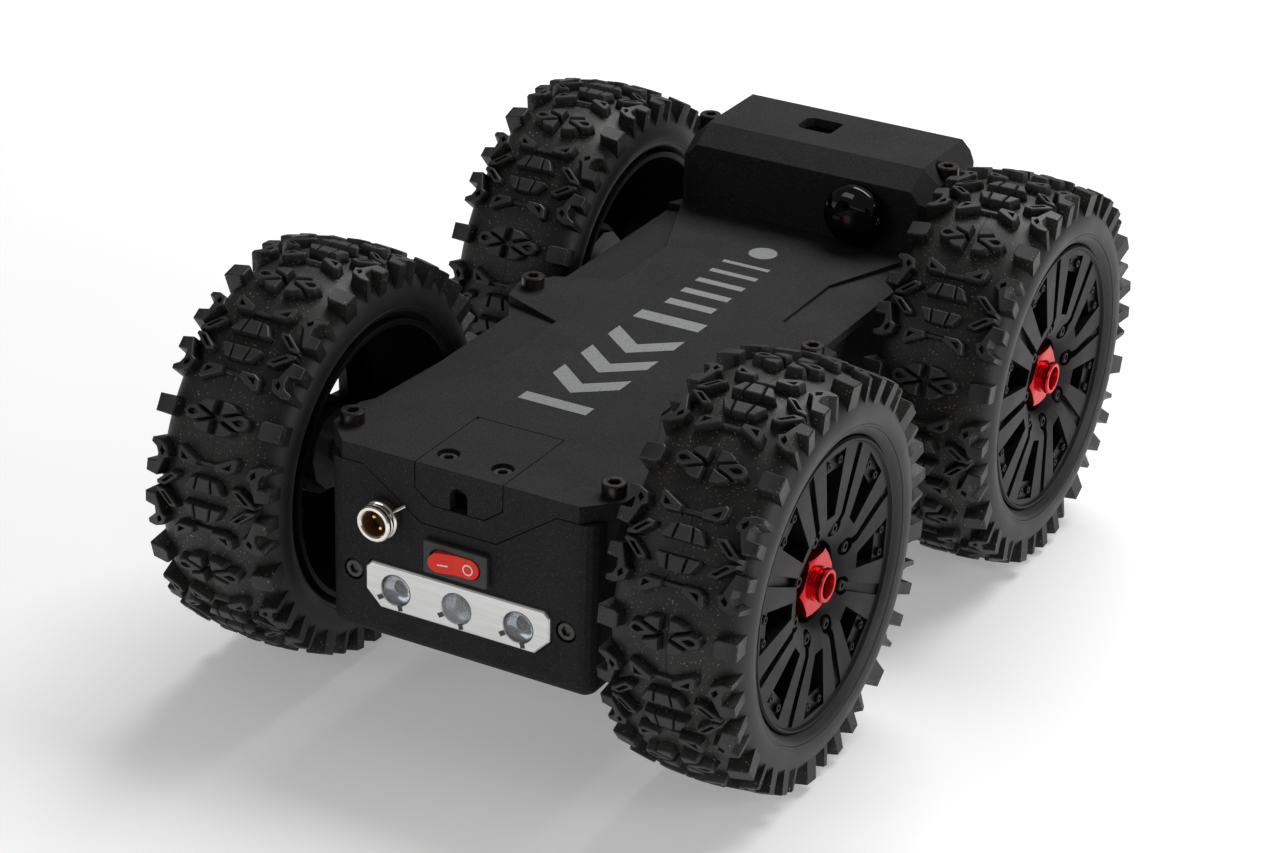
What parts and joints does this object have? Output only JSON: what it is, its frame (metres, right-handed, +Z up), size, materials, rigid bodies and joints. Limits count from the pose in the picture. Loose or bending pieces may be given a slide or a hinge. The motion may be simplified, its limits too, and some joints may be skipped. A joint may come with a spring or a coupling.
{
  "type": "four wheel robot chassis",
  "caption": "Wheeled robot chassis with a closed body, camera housing, lamp bar, rocker switch and spoked rims in off-road tyres.",
  "frame": {"origin": "on the ground, midway between the four wheels", "axes": "-Y to the front with the lamps and switch, +Y to the rear, +X to the camera's side, +Z up"},
  "size_m": [0.1866, 0.2778, 0.121],
  "materials": {
    "body_nylon": "sintered black nylon, fine grain",
    "black_steel": "black oxide steel",
    "lamp_aluminium": "satin machined",
    "lamp_glass": "clear lens",
    "circuit_board": "green solder mask",
    "switch_grey": "moulded dark grey",
    "switch_red": "moulded red",
    "socket_nickel": "bright nickel plate",
    "socket_bronze": "bronze contact insert",
    "camera_glass": "coated wide-angle lens",
    "camera_black": "black lens barrel",
    "motor_can": "drawn steel can",
    "battery_wrap": "shrink wrap",
    "bright_steel": "turned steel",
    "tyre_rubber": "soft rubber with fine dust",
    "tyre_foam": "open cell foam",
    "rim_plastic": "satin black nylon",
    "red_anodised": "red anodised"
  },
  "bodies": {
    "chassis": {"chassis_tub": "body_nylon", "top_cover": "body_nylon", "access_hatch": "body_nylon", "front_screw_right": "black_steel", "front_screw_left": "black_steel", "middle_screw_right": "black_steel", "middle_screw_left": "black_steel", "rear_screw_right": "black_steel", "rear_screw_left": "black_steel", "hatch_screw_right": "black_steel", "hatch_screw_left": "black_steel", "lamp_bar_screw_right": "black_steel", "lamp_bar_screw_left": "black_steel", "lamp_bar": "lamp_aluminium", "lamp_lens_left": "lamp_glass", "lamp_lens_middle": "lamp_glass", "lamp_lens_right": "lamp_glass", "lamp_board": "circuit_board", "switch_bezel": "switch_grey", "socket_shell": "socket_nickel", "socket_nut": "socket_nickel", "socket_insert": "socket_bronze", "camera_dome": "camera_glass", "camera_barrel": "camera_black", "battery_pack": "battery_wrap", "control_board": "circuit_board", "front_right_gearmotor": "motor_can", "front_right_axle_bearing": "bright_steel", "front_left_gearmotor": "motor_can", "front_left_axle_bearing": "bright_steel", "rear_right_gearmotor": "motor_can", "rear_right_axle_bearing": "bright_steel", "rear_left_gearmotor": "motor_can", "rear_left_axle_bearing": "bright_steel"},
    "front_right_wheel": {"front_right_tyre": "tyre_rubber", "front_right_foam_insert": "tyre_foam", "front_right_rim": "rim_plastic", "front_right_drive_hub": "bright_steel", "front_right_wheel_nut": "red_anodised", "front_right_axle": "bright_steel"},
    "front_left_wheel": {"front_left_tyre": "tyre_rubber", "front_left_foam_insert": "tyre_foam", "front_left_rim": "rim_plastic", "front_left_drive_hub": "bright_steel", "front_left_wheel_nut": "red_anodised", "front_left_axle": "bright_steel"},
    "rear_right_wheel": {"rear_right_tyre": "tyre_rubber", "rear_right_foam_insert": "tyre_foam", "rear_right_rim": "rim_plastic", "rear_right_drive_hub": "bright_steel", "rear_right_wheel_nut": "red_anodised", "rear_right_axle": "bright_steel"},
    "rear_left_wheel": {"rear_left_tyre": "tyre_rubber", "rear_left_foam_insert": "tyre_foam", "rear_left_rim": "rim_plastic", "rear_left_drive_hub": "bright_steel", "rear_left_wheel_nut": "red_anodised", "rear_left_axle": "bright_steel"},
    "rocker": {"rocker_switch": "switch_red"}
  },
  "joints": [
    {"name": "front_right_wheel_spin", "type": "hinge", "parent": "chassis", "child": "front_right_wheel", "pos_m": [0.0728, -0.0784, 0.0605], "axis": [1, 0, 0], "continuous": true},
    {"name": "front_left_wheel_spin", "type": "hinge", "parent": "chassis", "child": "front_left_wheel", "pos_m": [-0.0728, -0.0784, 0.0605], "axis": [1, 0, 0], "continuous": true},
    {"name": "rear_right_wheel_spin", "type": "hinge", "parent": "chassis", "child": "rear_right_wheel", "pos_m": [0.0728, 0.0784, 0.0605], "axis": [1, 0, 0], "continuous": true},
    {"name": "rear_left_wheel_spin", "type": "hinge", "parent": "chassis", "child": "rear_left_wheel", "pos_m": [-0.0728, 0.0784, 0.0605], "axis": [1, 0, 0], "continuous": true},
    {"name": "rocker_switch_tilt", "type": "hinge", "parent": "chassis", "child": "rocker", "pos_m": [0, -0.1216, 0.0613], "axis": [0, 0, 1], "range_deg": [-14, 0]}
  ]
}
